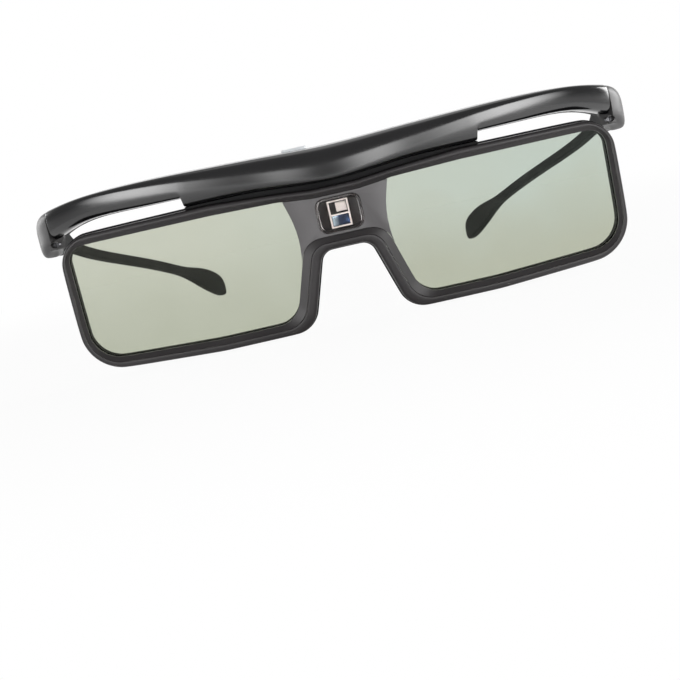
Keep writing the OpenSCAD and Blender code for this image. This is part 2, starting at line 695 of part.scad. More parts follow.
// Clear button: a flange inside the cover and a rounded top outside
module rounded_bar(len, w, h) {
    cube([len - w, w, h], center = true);
    for (side = [-1, 1])
        translate([side * (len - w) / 2, 0, 0]) cylinder(d = w, h = h, center = true);
}
module power_button() color([0.85, 0.87, 0.9, 0.6]) placed() {
    translate([-button_x, button_y, (button_low_z + button_top_z) / 2])
        rounded_bar(button_len, button_w, button_top_z - button_low_z);
    translate([-button_x, button_y, button_low_z + flange_h / 2])
        cube([button_len + 2 * flange_w, button_w - flange_trim, flange_h], center = true);
}

// Small light beside the switch, shining up into the clear button
light_size = [1, 1.6, 1];
light_x = run_gap + switch_w / 2 - button_x;
module indicator_light() color("#e8f0d8") placed()
    translate([light_x, main_back_y, switch_top_z - light_size.z]) cube(light_size);

// Temples

hinge_under = 0.8;
hinge_z = brow_top_end - leaf_h / 2 - hinge_under;
face_x = brow_half_w - end_in_d;
hinge_x = face_x - barrel_r - run_gap;
temple_straight = 8;
arm_drop = [1.1, 12.2, 15.7];
arm_share = [0.27, 0.64];
arm_swing = 16.6;
tip_sink = 1.5;
temple_path = [[brow_half_w, temple_y + temple_straight, end_mid_z - arm_drop[0]],
    [brow_half_w, temple_y + arm_share[0] * temple_len, end_mid_z - arm_drop[1]],
    [tip_x + arm_swing, temple_y + arm_share[1] * temple_len, end_mid_z - arm_drop[2]],
    [tip_x, tip_y, paddle_h / 2 - tip_sink]];
function temple_rise(t) = mix(brow_top_end - brow_low_end, arm_h, ease(-0.04, 0.15, t))
    + (paddle_h - arm_h) * ease(0.76, 0.93, t);
tip_round = 0.955;
function tip_share(t) = t < tip_round ? 1 : sqrt(1 - pow((t - tip_round) / (1 - tip_round), 2));
function temple_row(t) = let(
    at = bezier(temple_path, t),
    dir = bezier_dir(temple_path, t),
    half = temple_rise(t) / 2 * tip_share(t),
    thin = ease(-0.02, 0.2, t),
    taper = mix(0.1, 1, tip_share(t)),
    out = mix(brow_end_d, arm_d, thin) * taper,
    back = mix(end_in_d, arm_d, thin) * taper)
    [for (s = full_section(out, back, at.z - half, at.z, at.z + half)) beside(at, dir, s.x, s.y)];
front_row = [for (s = full_section(brow_end_d, end_in_d, brow_low_end, end_mid_z, brow_top_end))
    beside([brow_half_w, temple_y], [0, 1], s.x, s.y)];
temple_stations = concat([for (t = [0 : 0.03 : 0.2]) t], [for (t = [0.26 : 0.08 : 0.75]) t],
    [for (t = [0.78 : 0.03 : 0.94]) t],
    [for (i = [0 : 5]) mix(tip_round, 0.9996, 1 - pow(1 - i / 5, 2))]);
module temple() color("#1c1c1f") placed()
    loft(concat([front_row], [for (t = temple_stations) temple_row(t)]));

// Hinges: two barrels on the frame's leaf, one between them on the temple's leaf
knuckle_h = leaf_h / 3;
leaf_clear = 0.9;
module barrel(z, h) translate([hinge_x, hinge_y, z]) cylinder(r = barrel_r, h = h);
module hinge_bore() translate([hinge_x, hinge_y, hinge_z - leaf_h])
    cylinder(r = screw_r + bore_gap, h = 2 * leaf_h);
// Web from a barrel to its leaf; toward is -1 for the frame's side and 1 for the temple's
module web(z, h, toward) translate([hinge_x, hinge_y + (toward < 0 ? -barrel_r - leaf_clear : 0), z])
    cube([face_x - hinge_x, barrel_r + leaf_clear, h]);
module leaf(toward) translate([face_x - leaf_t,
        hinge_y + (toward < 0 ? -barrel_r - leaf_clear - leaf_len : barrel_r + leaf_clear),
        hinge_z - leaf_h / 2])
    cube([leaf_t, leaf_len, leaf_h]);

// Rows of the frame's knuckles as [low end, height]
frame_knuckles = [for (low = [-leaf_h / 2, knuckle_h / 2 + fit_gap]) [hinge_z + low, knuckle_h - fit_gap]];
module hinge_leaf() color("#6c6e72") placed() difference() {
    union() {
        leaf(-1);
        for (k = frame_knuckles) {
            barrel(k[0], k[1]);
            intersection() {
                web(k[0], k[1], -1);
                box([0, 0, 0], [face_x, hinge_y - run_gap / 2, 2 * brow_top_end]);
            }
        }
    }
    hinge_bore();
}

temple_knuckle = [hinge_z - knuckle_h / 2 + fit_gap, knuckle_h - 2 * fit_gap];
module temple_leaf() color("#6c6e72") placed() difference() {
    union() {
        leaf(1);
        barrel(temple_knuckle[0], temple_knuckle[1]);
        intersection() {
            web(temple_knuckle[0], temple_knuckle[1], 1);
            box([0, hinge_y + run_gap / 2, 0], [face_x, tip_y, 2 * brow_top_end]);
        }
    }
    hinge_bore();
}

hinge_head_h = 0.6;
hinge_slot_w = 0.24;
module hinge_screw() color("#9c9ea2") placed() translate([hinge_x, hinge_y, hinge_z - leaf_h / 2]) {
    cylinder(r = screw_r, h = leaf_h);
    translate([0, 0, leaf_h]) difference() {
        cylinder(r = head_r, h = hinge_head_h);
        translate([-head_r, -hinge_slot_w / 2, hinge_head_h / 2])
            cube([2 * head_r, hinge_slot_w, hinge_head_h]);
    }
}

front_rim();
rear_rim();
bridge_panel();
bridge_back_cover();
receiver_window();
receiver_housing();
photodiode();
receiver_chip();
receiver_board();
lens_cell();  // lens_cell_left
other_side() lens_cell();  // lens_cell_right
front_polariser();  // front_polariser_left
other_side() front_polariser();  // front_polariser_right
rear_polariser();  // rear_polariser_left
other_side() rear_polariser();  // rear_polariser_right
shutter_tail();  // shutter_tail_left
other_side() shutter_tail();  // shutter_tail_right
brow_front_cover();
brow_rear_cover();
brow_rail();
end_block();  // end_block_left
other_side() end_block();  // end_block_right
cover_screws();
main_board();
controller_chip();
battery_cell();
charge_socket();
push_switch();
indicator_light();
hinge_leaf();  // hinge_leaf_left
other_side() hinge_leaf();  // hinge_leaf_right
hinge_screw();  // hinge_screw_left
other_side() hinge_screw();  // hinge_screw_right
temple();  // temple_left
other_side() temple();  // temple_right
temple_leaf();  // temple_leaf_left
other_side() temple_leaf();  // temple_leaf_right
power_button();
switch_plunger();
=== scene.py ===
# %% [markdown]
# # Active shutter glasses
#
# These glasses open and close a liquid crystal lens in front of each eye, in step with a screen.
# The front is a flat rim with two lenses, a hollow brow bar above it holds a small circuit and a
# battery, and two slim temples fold in behind the lenses. The solids come ready made, in metres, in
# one frame. This lesson rounds their edges, gives every piece its material, and lights the whole.

# %% Load the frame
import json
import math

import bmesh
import bpy
from mathutils import Matrix, Vector


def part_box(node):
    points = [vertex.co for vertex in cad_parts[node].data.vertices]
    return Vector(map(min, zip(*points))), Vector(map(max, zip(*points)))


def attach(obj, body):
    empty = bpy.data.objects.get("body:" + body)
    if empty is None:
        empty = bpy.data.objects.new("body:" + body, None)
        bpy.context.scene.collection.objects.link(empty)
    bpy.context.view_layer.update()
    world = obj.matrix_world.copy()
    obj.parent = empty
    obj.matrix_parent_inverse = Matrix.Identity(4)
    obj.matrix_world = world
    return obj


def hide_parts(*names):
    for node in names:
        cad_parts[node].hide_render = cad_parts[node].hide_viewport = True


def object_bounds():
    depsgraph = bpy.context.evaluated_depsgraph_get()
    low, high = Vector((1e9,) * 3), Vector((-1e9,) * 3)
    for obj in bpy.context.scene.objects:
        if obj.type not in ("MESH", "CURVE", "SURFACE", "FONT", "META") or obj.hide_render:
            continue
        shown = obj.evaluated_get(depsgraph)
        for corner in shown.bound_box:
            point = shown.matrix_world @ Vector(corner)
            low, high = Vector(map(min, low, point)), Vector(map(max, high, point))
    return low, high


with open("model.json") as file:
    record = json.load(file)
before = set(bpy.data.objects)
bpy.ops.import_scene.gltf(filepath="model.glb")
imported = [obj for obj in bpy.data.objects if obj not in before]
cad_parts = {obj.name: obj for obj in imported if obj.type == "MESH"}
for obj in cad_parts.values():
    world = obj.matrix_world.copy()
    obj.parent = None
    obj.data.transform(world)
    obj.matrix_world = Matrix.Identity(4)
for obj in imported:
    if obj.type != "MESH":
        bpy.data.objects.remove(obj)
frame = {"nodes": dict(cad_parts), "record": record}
cad_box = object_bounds()
MM = 0.001
body_of = {n: b for b, ns in frame["record"]["behaviour"]["bodies"].items() for n in ns}
size_mm = [round((high - low) / MM, 1) for low, high in zip(*cad_box)]
print("loaded", len(frame["nodes"]), "nodes, size in mm", size_mm)

# %% [markdown]
# ## Camera
#
# The photograph is taken from the front, from about half a metre, a little above the brow, and the
# glasses lean to one side in the picture. The lean is a roll of the camera: the glasses stand level.
# No lens shift is used, so the camera simply looks a few degrees below the glasses, which puts them
# in the upper half of the frame.

# %% Camera at the photograph's viewing angle
CAMERA_PLACE_MM = (-4.0, -485.1, 53.6)
CAMERA_LENS_MM = 81.32
SENSOR_MM = 36.0
CAMERA_YAW = math.radians(-0.475)
CAMERA_PITCH = math.radians(7.98)
CAMERA_ROLL = math.radians(12.85)

camera_data = bpy.data.cameras.new("camera")
camera_data.lens = CAMERA_LENS_MM
camera_data.sensor_width = SENSOR_MM
camera = bpy.data.objects.new("camera", camera_data)
bpy.context.scene.collection.objects.link(camera)
turn = Matrix.Rotation(-CAMERA_YAW, 4, "Z")
tilt = Matrix.Rotation(math.pi / 2 - CAMERA_PITCH, 4, "X")
lean = Matrix.Rotation(-CAMERA_ROLL, 4, "Z")
camera.matrix_world = Matrix.Translation(Vector(CAMERA_PLACE_MM) * MM) @ turn @ tilt @ lean
bpy.context.scene.camera = camera
print("camera looks along", [round(c, 3) for c in (turn @ tilt).to_3x3() @ Vector((0, 0, -1))])

# %% [markdown]
# ## A helper for node trees
#
# Every material here is a small graph of nodes. One function adds a node, sets its options, and
# fills its sockets with values or links. Colours are written as sRGB hex values, as a paint chart
# gives them, and turned to the linear values that the renderer works in.

# %% Node helper and colour helper
def add(tree, kind, inputs=None, **options):
    """Adds one node; inputs maps a socket to a value or to another node's output socket."""
    node = tree.nodes.new(kind)
    for name, value in options.items():
        setattr(node, name, value)
    for socket, value in (inputs or {}).items():
        if isinstance(value, bpy.types.NodeSocket):
            tree.links.new(value, node.inputs[socket])
        else:
            node.inputs[socket].default_value = value
    return node


def linear(hex_colour):
    """An sRGB hex colour as linear red, green and blue, by the standard's curve, and an alpha of one."""
    parts = [int(hex_colour[i:i + 2], 16) / 255 for i in (1, 3, 5)]
    return [c / 12.92 if c <= 0.04045 else ((c + 0.055) / 1.055) ** 2.4 for c in parts] + [1.0]


print("mid grey is", [round(c, 3) for c in linear("#808080")[:3]], "in linear light")

# %% [markdown]
# ## Studio
#
# The glasses stand on a white table in front of a white sweep. The table shows its white to the
# camera, through the lenses and to reflections, and near the glasses it still takes a part of the
# real light, so the shadow stays. Right in front, where the camera stands, reflections see the table
# as it is lit, which keeps the middle of the black brow dark.

# %% Table
TABLE_HALF_M = 4.0
# Share of its own white that the table shows near the glasses, and the distances over which it grows to 1
TABLE_GLOW = 0.95
SHADOW_REACH_MM = (120, 300)
# Distances to each side over which reflections gain the table's white, and lose it again
MIRROR_REACH_MM = ((15, 60), (260, 180))
# Share of the white on the left, and the half width over which it turns to full white on the right
LEFT_SHARE = 0.55
TURN_HALF_MM = 60
# Depths between which reflections begin to see the white behind the glasses
BEHIND_MM = (-80, 40)

table_mesh = bpy.data.meshes.new("table")
corners = [(x * TABLE_HALF_M, y * TABLE_HALF_M, 0) for x, y in ((-1, -1), (1, -1), (1, 1), (-1, 1))]
table_mesh.from_pydata(corners, [], [(0, 1, 2, 3)])
table = bpy.data.objects.new("table", table_mesh)
bpy.context.scene.collection.objects.link(table)

table_white = bpy.data.materials.new("white_table")
table_white.use_nodes = True
tree = table_white.node_tree
tree.nodes.clear()
ray = add(tree, "ShaderNodeLightPath").outputs
place = add(tree, "ShaderNodeTexCoord").outputs["Object"]
away = add(tree, "ShaderNodeVectorMath", {0: place}, operation="LENGTH").outputs["Value"]
axis = add(tree, "ShaderNodeSeparateXYZ", {0: place}).outputs
beside = add(tree, "ShaderNodeMath", {0: axis["X"]}, operation="ABSOLUTE").outputs[0]
white = add(tree, "ShaderNodeMapRange", {"Value": axis["X"], "From Min": -TURN_HALF_MM * MM,
                                         "From Max": TURN_HALF_MM * MM, "To Min": LEFT_SHARE}).outputs[0]
for start, end in MIRROR_REACH_MM:
    part = add(tree, "ShaderNodeMapRange", {"Value": beside, "From Min": start * MM, "From Max": end * MM})
    white = add(tree, "ShaderNodeMath", {0: white, 1: part.outputs[0]}, operation="MULTIPLY").outputs[0]
behind = add(tree, "ShaderNodeMapRange", {"Value": axis["Y"], "From Min": BEHIND_MM[0] * MM,
                                          "From Max": BEHIND_MM[1] * MM}).outputs[0]
white = add(tree, "ShaderNodeMath", {0: white, 1: behind}, operation="MAXIMUM").outputs[0]
mirror = add(tree, "ShaderNodeMath", {0: ray["Is Glossy Ray"], 1: white}, operation="MULTIPLY").outputs[0]
direct = add(tree, "ShaderNodeMath", {0: ray["Is Camera Ray"], 1: ray["Is Transmission Ray"]},
             operation="MAXIMUM").outputs[0]
seen = add(tree, "ShaderNodeMath", {0: direct, 1: mirror}, operation="MAXIMUM").outputs[0]
fade = add(tree, "ShaderNodeMapRange", {"Value": away, "From Min": SHADOW_REACH_MM[0] * MM,
                                        "From Max": SHADOW_REACH_MM[1] * MM, "To Min": TABLE_GLOW,
                                        "To Max": 1.0}, interpolation_type="SMOOTHSTEP").outputs[0]
share = add(tree, "ShaderNodeMath", {0: seen, 1: fade}, operation="MULTIPLY")
lit = add(tree, "ShaderNodeBsdfDiffuse", {"Color": linear("#f4f4f4")})
glow = add(tree, "ShaderNodeEmission", {"Color": linear("#ffffff"), "Strength": 1.0})
both = add(tree, "ShaderNodeMixShader", {0: share.outputs[0], 1: lit.outputs[0], 2: glow.outputs[0]})
add(tree, "ShaderNodeOutputMaterial", {"Surface": both.outputs[0]})
table_mesh.materials.append(table_white)
print("table is", 2 * TABLE_HALF_M, "m wide")

# %% [markdown]
# ## Room
#
# The world behind everything is the room. To the camera and through the lenses it is the white sweep,
# and so it is in a reflection that looks back past the glasses and not far up. Everywhere else it is
# a dim grey, so that the black pieces stay black and the panels alone draw their highlights.

# %% World
ROOM_LEVEL = 0.22
# Parts of a direction's Y over which a reflection begins to see the sweep, and of Z over which it ends
SWEEP_FRONT = (-0.1, 0.5)
SWEEP_TOP = (0.3, 0.6)

world = bpy.data.worlds.new("studio")
bpy.context.scene.world = world
world.use_nodes = True
tree = world.node_tree
tree.nodes.clear()
ray = add(tree, "ShaderNodeLightPath").outputs
way = add(tree, "ShaderNodeTexCoord").outputs["Generated"]
axis = add(tree, "ShaderNodeSeparateXYZ", {0: way}).outputs
behind = add(tree, "ShaderNodeMapRange", {"Value": axis["Y"], "From Min": SWEEP_FRONT[0],
                                          "From Max": SWEEP_FRONT[1]}).outputs[0]
below = add(tree, "ShaderNodeMapRange", {"Value": axis["Z"], "From Min": SWEEP_TOP[1],
                                         "From Max": SWEEP_TOP[0]}).outputs[0]
sweep = add(tree, "ShaderNodeMath", {0: behind, 1: below}, operation="MULTIPLY").outputs[0]
mirror = add(tree, "ShaderNodeMath", {0: ray["Is Glossy Ray"], 1: sweep}, operation="MULTIPLY").outputs[0]
direct = add(tree, "ShaderNodeMath", {0: ray["Is Camera Ray"], 1: ray["Is Transmission Ray"]},
             operation="MAXIMUM").outputs[0]
seen = add(tree, "ShaderNodeMath", {0: direct, 1: mirror}, operation="MAXIMUM").outputs[0]
level = add(tree, "ShaderNodeMapRange", {"Value": seen, "To Min": ROOM_LEVEL, "To Max": 1.0})
sky = add(tree, "ShaderNodeBackground", {"Color": linear("#ffffff"), "Strength": level.outputs[0]})
add(tree, "ShaderNodeOutputWorld", {"Surface": sky.outputs[0]})
print("room level", ROOM_LEVEL)

# %% [markdown]
# ## Soft panels
#
# The bright bands on the brow's wings are the mirror images of two strips, one on each side of the
# camera and a little above it. The wings turn away by about ten degrees, so their mirror images come
# from about seven to forty degrees to each side. Like a cloth front with one lamp behind it, a strip is
# brightest near its middle and falls off toward both sides, and it leans down toward the camera, so
# the bands fade out low toward the middle of the brow. A dim panel overhead lights the brow's top, and
# two stand at the sides, a little behind, and edge the end blocks with light. A panel's power follows
# from its brightness: an area lamp of power P and area A shines with a radiance of P / (pi A).

# %% Panels beside the camera and behind the ends
PANEL_AWAY_M = 0.9
STRIP_SIZE_M = (0.8, 0.36)
TOP_SIZE_M = (0.36, 0.5)
EDGE_SIZE_M = (0.6, 0.5)


def panel(name, azimuth, elevation, radiance, size, lean=0, edges=()):
    """A soft box facing the glasses; each of edges gives two shares of its width, from dark to bright."""
    data = bpy.data.lights.new(name, "AREA")
    data.shape = "RECTANGLE"
    data.size, data.size_y = size
    data.energy = radiance * math.pi * size[0] * size[1]
    data.use_nodes = True
    tree = data.node_tree
    front = add(tree, "ShaderNodeNewGeometry").outputs["Parametric"]
    across = add(tree, "ShaderNodeSeparateXYZ", {0: front}).outputs["X"]
    level = 1.0
    for start, end in edges:
        part = add(tree, "ShaderNodeMapRange", {"Value": across, "From Min": start, "From Max": end},
                   interpolation_type="SMOOTHSTEP").outputs[0]
        level = add(tree, "ShaderNodeMath", {0: level, 1: part}, operation="MULTIPLY").outputs[0]
    if edges:
        tree.links.new(level, tree.nodes["Emission"].inputs["Strength"])
    lamp = bpy.data.objects.new(name, data)
    bpy.context.scene.collection.objects.link(lamp)
    a, e = math.radians(azimuth), math.radians(elevation)
    out = Vector((math.sin(a) * math.cos(e), -math.cos(a) * math.cos(e), math.sin(e)))
    target = Vector((0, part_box("front_rim")[0].y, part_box("front_rim")[1].z))
    lamp.location = target + out * PANEL_AWAY_M
    facing = out.to_track_quat("Z", "Y").to_matrix() @ Matrix.Rotation(math.radians(lean), 3, "Z")
    lamp.rotation_euler = facing.to_euler()
    lamp.visible_camera = False
    print(name, "power", round(data.energy, 2), "W")


# After the name come azimuth and elevation in degrees, seen from the glasses, and the radiance
panel("left_strip", -27.5, 8, 5.0, STRIP_SIZE_M, lean=-12, edges=((0.0, 0.5), (0.96, 0.64)))
panel("right_strip", 25.5, 9.5, 5.6, STRIP_SIZE_M, lean=8, edges=((0.03, 0.38), (1.0, 0.48)))
panel("top_soft", -14, 124, 0.4, TOP_SIZE_M)
panel("left_edge", -122, 8, 3.2, EDGE_SIZE_M)
panel("right_edge", 108, 8, 6.5, EDGE_SIZE_M)

# %% [markdown]
# ## Moulded plastics
#
# Nearly every outer piece is injection moulded ABS. Its refractive index is about 1.53, so a smooth
# piece mirrors some 4 % of the light straight on. The rest of the look is the finish. The brow's front
# comes from a polished mould and has a clear lacquer, which mirrors a second time and takes the strips
# as long bands. The rims and end blocks are satin, from a mould with a fine spark texture, and spread
# the same light to a soft sheen. The back has a coarser texture. The temples have a soft-touch paint,
# which is so rough that it shows almost no sheen and looks black from every side. An image texture could
# hold all this, but a mould's texture has no picture in it, so noise is enough. The real grain is some
# 0.05 mm wide and would be lost between the pixels, so it is drawn a few times wider. One function makes
# all the plastics, from the colour, the roughness, and the width and height of the grain.

# %% Moulded plastic
# Width of the soft patches that every moulding has, and the span of noise that holds most of them
PATCH_MM = 9
PATCH_SPAN = (0.3, 0.7)
MICRON = 1e-6


def moulded(name, colour, roughness, grain_mm, grain_um, ior=1.53, uneven=0.06, tone=0.12, coat=0.0):
    """Moulded plastic: uneven spreads the roughness and tone the colour in soft patches."""
    material = bpy.data.materials.new(name)
    material.use_nodes = True
    tree = material.node_tree
    shader = tree.nodes["Principled BSDF"]
    place = add(tree, "ShaderNodeTexCoord").outputs["Object"]
    patches = add(tree, "ShaderNodeTexNoise", {"Vector": place, "Scale": 1 / (PATCH_MM * MM),
                                               "Detail": 3.0})
    dark, pale = ([c * k for c in linear(colour)[:3]] + [1.0] for k in (1 - tone, 1 + tone))
    shade = add(tree, "ShaderNodeMix", {"Factor": patches.outputs[0], 6: dark, 7: pale}, data_type="RGBA")
    rough = add(tree, "ShaderNodeMapRange", {"Value": patches.outputs[0],
                                             "From Min": PATCH_SPAN[0], "From Max": PATCH_SPAN[1],
                                             "To Min": roughness - uneven, "To Max": roughness + uneven})
    grain = add(tree, "ShaderNodeTexNoise", {"Vector": place, "Scale": 1 / (grain_mm * MM), "Detail": 2.0})
    bump = add(tree, "ShaderNodeBump", {"Height": grain.outputs[0], "Strength": 1.0,
                                        "Distance": grain_um * MICRON})
    tree.links.new(shade.outputs[2], shader.inputs["Base Color"])
    tree.links.new(rough.outputs[0], shader.inputs["Roughness"])
    tree.links.new(bump.outputs[0], shader.inputs["Normal"])
    shader.inputs["IOR"].default_value = ior
    shader.inputs["Coat Weight"].default_value = coat
    shader.inputs["Coat IOR"].default_value = ior
    shader.inputs["Coat Roughness"].default_value = roughness
    print(name, "roughness", roughness, "grain", grain_mm, "mm")
    return material


# Polished mould and clear lacquer: deep black with long, soft mirror bands
lacquered_abs = moulded("lacquered_black_abs", "#0d0d0f", 0.17, 0.5, 1.5, ior=1.6, uneven=0.03, coat=1.0)
# Fine spark texture: a dark grey sheen and no clear reflection
satin_abs = moulded("satin_black_abs", "#302d2e", 0.36, 0.25, 3.0, uneven=0.04)
# Coarser spark texture: flat black, for the sides that face the wearer
rear_abs = moulded("spark_textured_black_abs", "#0c0c0d", 0.6, 0.2, 6.0, ior=1.3)
# Soft-touch paint over a grained mould: black from every side
temple_abs = moulded("soft_touch_temple_abs", "#0e0e0f", 0.8, 0.3, 14.0, ior=1.38)
# Dark grey ABS from a satin mould: rounded ends that catch the side light
block_abs = moulded("satin_end_block_abs", "#3c3b3b", 0.4, 0.25, 4.0)
# Grey ABS from a satin mould: an even mid grey between the lenses
grey_abs = moulded("satin_grey_abs", "#666465", 0.45, 0.2, 4.0)
# White PBT, moulded: the bright frame round the die
white_pbt = moulded("white_pbt", "#f6f5f2", 0.4, 0.3, 3.0, tone=0.04)
# Epoxy pressed in a rough mould: a matt black that shows no highlight
chip_epoxy = moulded("black_chip_epoxy", "#141414", 0.55, 0.12, 5.0)
# Laminate under a dark solder mask: a brown black behind the clear window
board_brown = moulded("dark_circuit_laminate", "#1a0e0c", 0.6, 0.3, 3.0, ior=1.3)
# Laminate under a green solder mask: a smooth green
board_green = moulded("green_circuit_laminate", "#1d4a30", 0.35, 0.3, 3.0)
# Polyimide film: a shiny amber
tail_amber = moulded("amber_polyimide", "#b87a2c", 0.3, 0.3, 2.0)
# Milky polycarbonate, moulded smooth: a pale button against the black brow
milky_pc = moulded("milky_polycarbonate", "#e9edf0", 0.35, 0.3, 2.0, tone=0.03)
# Resin cast over a small lamp: a pale, dull green
light_resin = moulded("pale_diffuse_resin", "#e8f0d8", 0.4, 0.3, 2.0)

# %% [markdown]
# ## Lens glass and film
#
# A shutter lens is a thin liquid crystal cell of glass between two polariser films. The films turn
# the white behind them to a pale grey green, warmer toward one top corner and cooler toward the other.
# The tint is deepest at the foot of the lens, and that is painted shade: it stands for the glasses'
# shadow on the table, seen through the lens. One flat tint would look like painted glass, so the tint
# runs between three colours, and a slow noise bends its run. All the sheets are clear, so each is a
# transmitting glass. The films are glued to the cell without air between, so the sheets' inner faces
# mirror next to nothing, and their indices are written close to one for that. The receiver's window is
# clear polycarbonate, with an index a little below the real one, which keeps its inside dark.

# %% Clear materials
# Width of the slow drift in the tint, and the spans across and up over which the tint runs; the run up
# fades the painted shade at the foot
DRIFT_MM = 18
TINT_ACROSS_MM = (-30, 60)
FOOT_SHADE_UP_MM = (16, 40)


def clear(name, low, warm, cool, roughness, ior):
    """A clear sheet whose tint runs from a darker foot, which is painted shade, to a warm and a cool top
    corner.
    """
    material = bpy.data.materials.new(name)
    material.use_nodes = True
    tree = material.node_tree
    shader = tree.nodes["Principled BSDF"]
    place = add(tree, "ShaderNodeTexCoord").outputs["Object"]
    wave = add(tree, "ShaderNodeTexNoise", {"Vector": place, "Scale": 1 / (DRIFT_MM * MM), "Detail": 1.0})
    moved = add(tree, "ShaderNodeVectorMath", {0: wave.outputs["Color"], 1: (DRIFT_MM * MM,) * 3, 2: place},
                operation="MULTIPLY_ADD")
    axis = add(tree, "ShaderNodeSeparateXYZ", {0: moved.outputs[0]}).outputs
    across, up = (add(tree, "ShaderNodeMapRange", {"Value": axis[letter], "From Min": span[0] * MM,
                                                   "From Max": span[1] * MM}).outputs[0]
                  for letter, span in (("X", TINT_ACROSS_MM), ("Z", FOOT_SHADE_UP_MM)))
    top = add(tree, "ShaderNodeMix", {"Factor": across, 6: linear(warm), 7: linear(cool)},
              data_type="RGBA").outputs[2]
    # The foot colour low is painted shade: the tint deepens toward the foot of the sheet
    tint = add(tree, "ShaderNodeMix", {"Factor": up, 6: linear(low), 7: top}, data_type="RGBA").outputs[2]
    tree.links.new(tint, shader.inputs["Base Color"])
    shader.inputs["Transmission Weight"].default_value = 1.0
    shader.inputs["Roughness"].default_value = roughness
    shader.inputs["IOR"].default_value = ior
    print(name, "index", ior)
    return material


# Stretched film, glued down: eats light and leaves a grey green, made deeper at the foot by painted shade
film = clear("polariser_film", "#dfe0d9", "#e6e7e2", "#e4e8e4", 0.0, 1.15)
# Two panes of float glass with liquid crystal between: nearly clear
cell_glass = clear("liquid_crystal_glass", "#f3f6ee", "#f4f6ee", "#f2f6f2", 0.0, 1.04)
# Polycarbonate from a polished mould: clear, with bright lines where its rounded edges bend the light
clear_pc = clear("clear_polycarbonate", "#f5eeec", "#f6f0ee", "#f6f0ee", 0.02, 1.3)

# %% [markdown]
# ## Metals and silicon
#
# The hinges are plated steel, turned and then blackened. The socket and the pins keep their bright
# plating, and the battery is wrapped in a dull foil. The receiver's die is polished silicon under a
# blue antireflection layer, which looks like a dark blue metal. A metal has one colour and mirrors all
# round, so one function with a colour, a roughness and fine turning marks makes all four.

# %% Metals and die
# Turning marks are this much longer than wide, and spread the roughness by this much
MARK_STRETCH = 5
MARK_SPREAD = 0.1


def metal(name, colour, roughness, grain_mm):
    """Plated metal with fine turning marks round the hinge axis."""
    material = bpy.data.materials.new(name)
    material.use_nodes = True
    tree = material.node_tree
    shader = tree.nodes["Principled BSDF"]
    place = add(tree, "ShaderNodeTexCoord").outputs["Object"]
    lines = add(tree, "ShaderNodeMapping", {"Vector": place,
                                            "Scale": (1 / MARK_STRETCH, 1 / MARK_STRETCH, 1.0)})
    marks = add(tree, "ShaderNodeTexNoise", {"Vector": lines.outputs[0], "Scale": 1 / (grain_mm * MM),
                                             "Detail": 3.0})
    rough = add(tree, "ShaderNodeMapRange", {"Value": marks.outputs[0], "To Min": roughness - MARK_SPREAD,
                                             "To Max": roughness + MARK_SPREAD})
    tree.links.new(rough.outputs[0], shader.inputs["Roughness"])
    shader.inputs["Base Color"].default_value = linear(colour)
    shader.inputs["Metallic"].default_value = 1.0
    print(name, "roughness", roughness)
    return material


# Turned and blackened: a dark grey glint in the hinge
hinge_steel = metal("blackened_steel", "#7d7d80", 0.35, 0.15)
# Tin plate: pale and bright
plated_steel = metal("tin_plated_steel", "#c6c8ca", 0.3, 0.2)
# Rolled foil: a dull silver
pouch_foil = metal("battery_pouch_foil", "#b9bdc2", 0.4, 0.6)
# Polished wafer under a blue layer: a dark blue mirror
DIE_BLUE = "#20304a"
silicon = metal("coated_silicon", DIE_BLUE, 0.14, 1.0)

# %% [markdown]
# ## Painted reflection on the die
#
# The blue layer on the die is spun on. Toward one side the die is drawn paler, and that is a painted
# reflection: it stands for the light streak that the polished die mirrors. A picture of the die could
# show that, but two colours and a ramp between them say it all: the ramp runs over a part of the die's
# own width, which comes from its box.

# %% Painted reflection on the die's pale side
REFLECTION_SHARE = 0.4

tree = silicon.node_tree
low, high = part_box("photodiode")
die_w = high.x - low.x
place = add(tree, "ShaderNodeTexCoord").outputs["Object"]
axis = add(tree, "ShaderNodeSeparateXYZ", {0: place}).outputs
# Painted reflection: toward the die's low x side its colour turns a pale blue, as a light streak
painted_glint = add(tree, "ShaderNodeMapRange", {"Value": axis["X"], "From Min": low.x + REFLECTION_SHARE * die_w,
                                        "From Max": low.x}).outputs[0]
blue_with_glint = add(tree, "ShaderNodeMix", {"Factor": painted_glint, 6: linear(DIE_BLUE), 7: linear("#c0dcea")},
            data_type="RGBA").outputs[2]
tree.links.new(blue_with_glint, tree.nodes["Principled BSDF"].inputs["Base Color"])
print("die is", round(die_w / MM, 2), "mm wide")

# %% [markdown]
# ## Rounding the pieces
#
# The solids have straight facets and sharp edges, and a real moulding has neither. A piece is made
# from a copy of the solid's mesh: its triangles are joined into the strips that they came from, its
# edges get a small bevel, and, where the solid is curved, a subdivision surface smooths it. Shading alone
# could hide the facets, but not at the outline, so the mesh itself is made smooth.

# %% Rounded copy of a solid
WELD_MM = 0.001
# Two triangles join when they bend and skew less than this, and flat faces merge below the last angle
JOIN_BEND_DEG = 40
JOIN_SKEW_DEG = 100
FLAT_DEG = 0.5


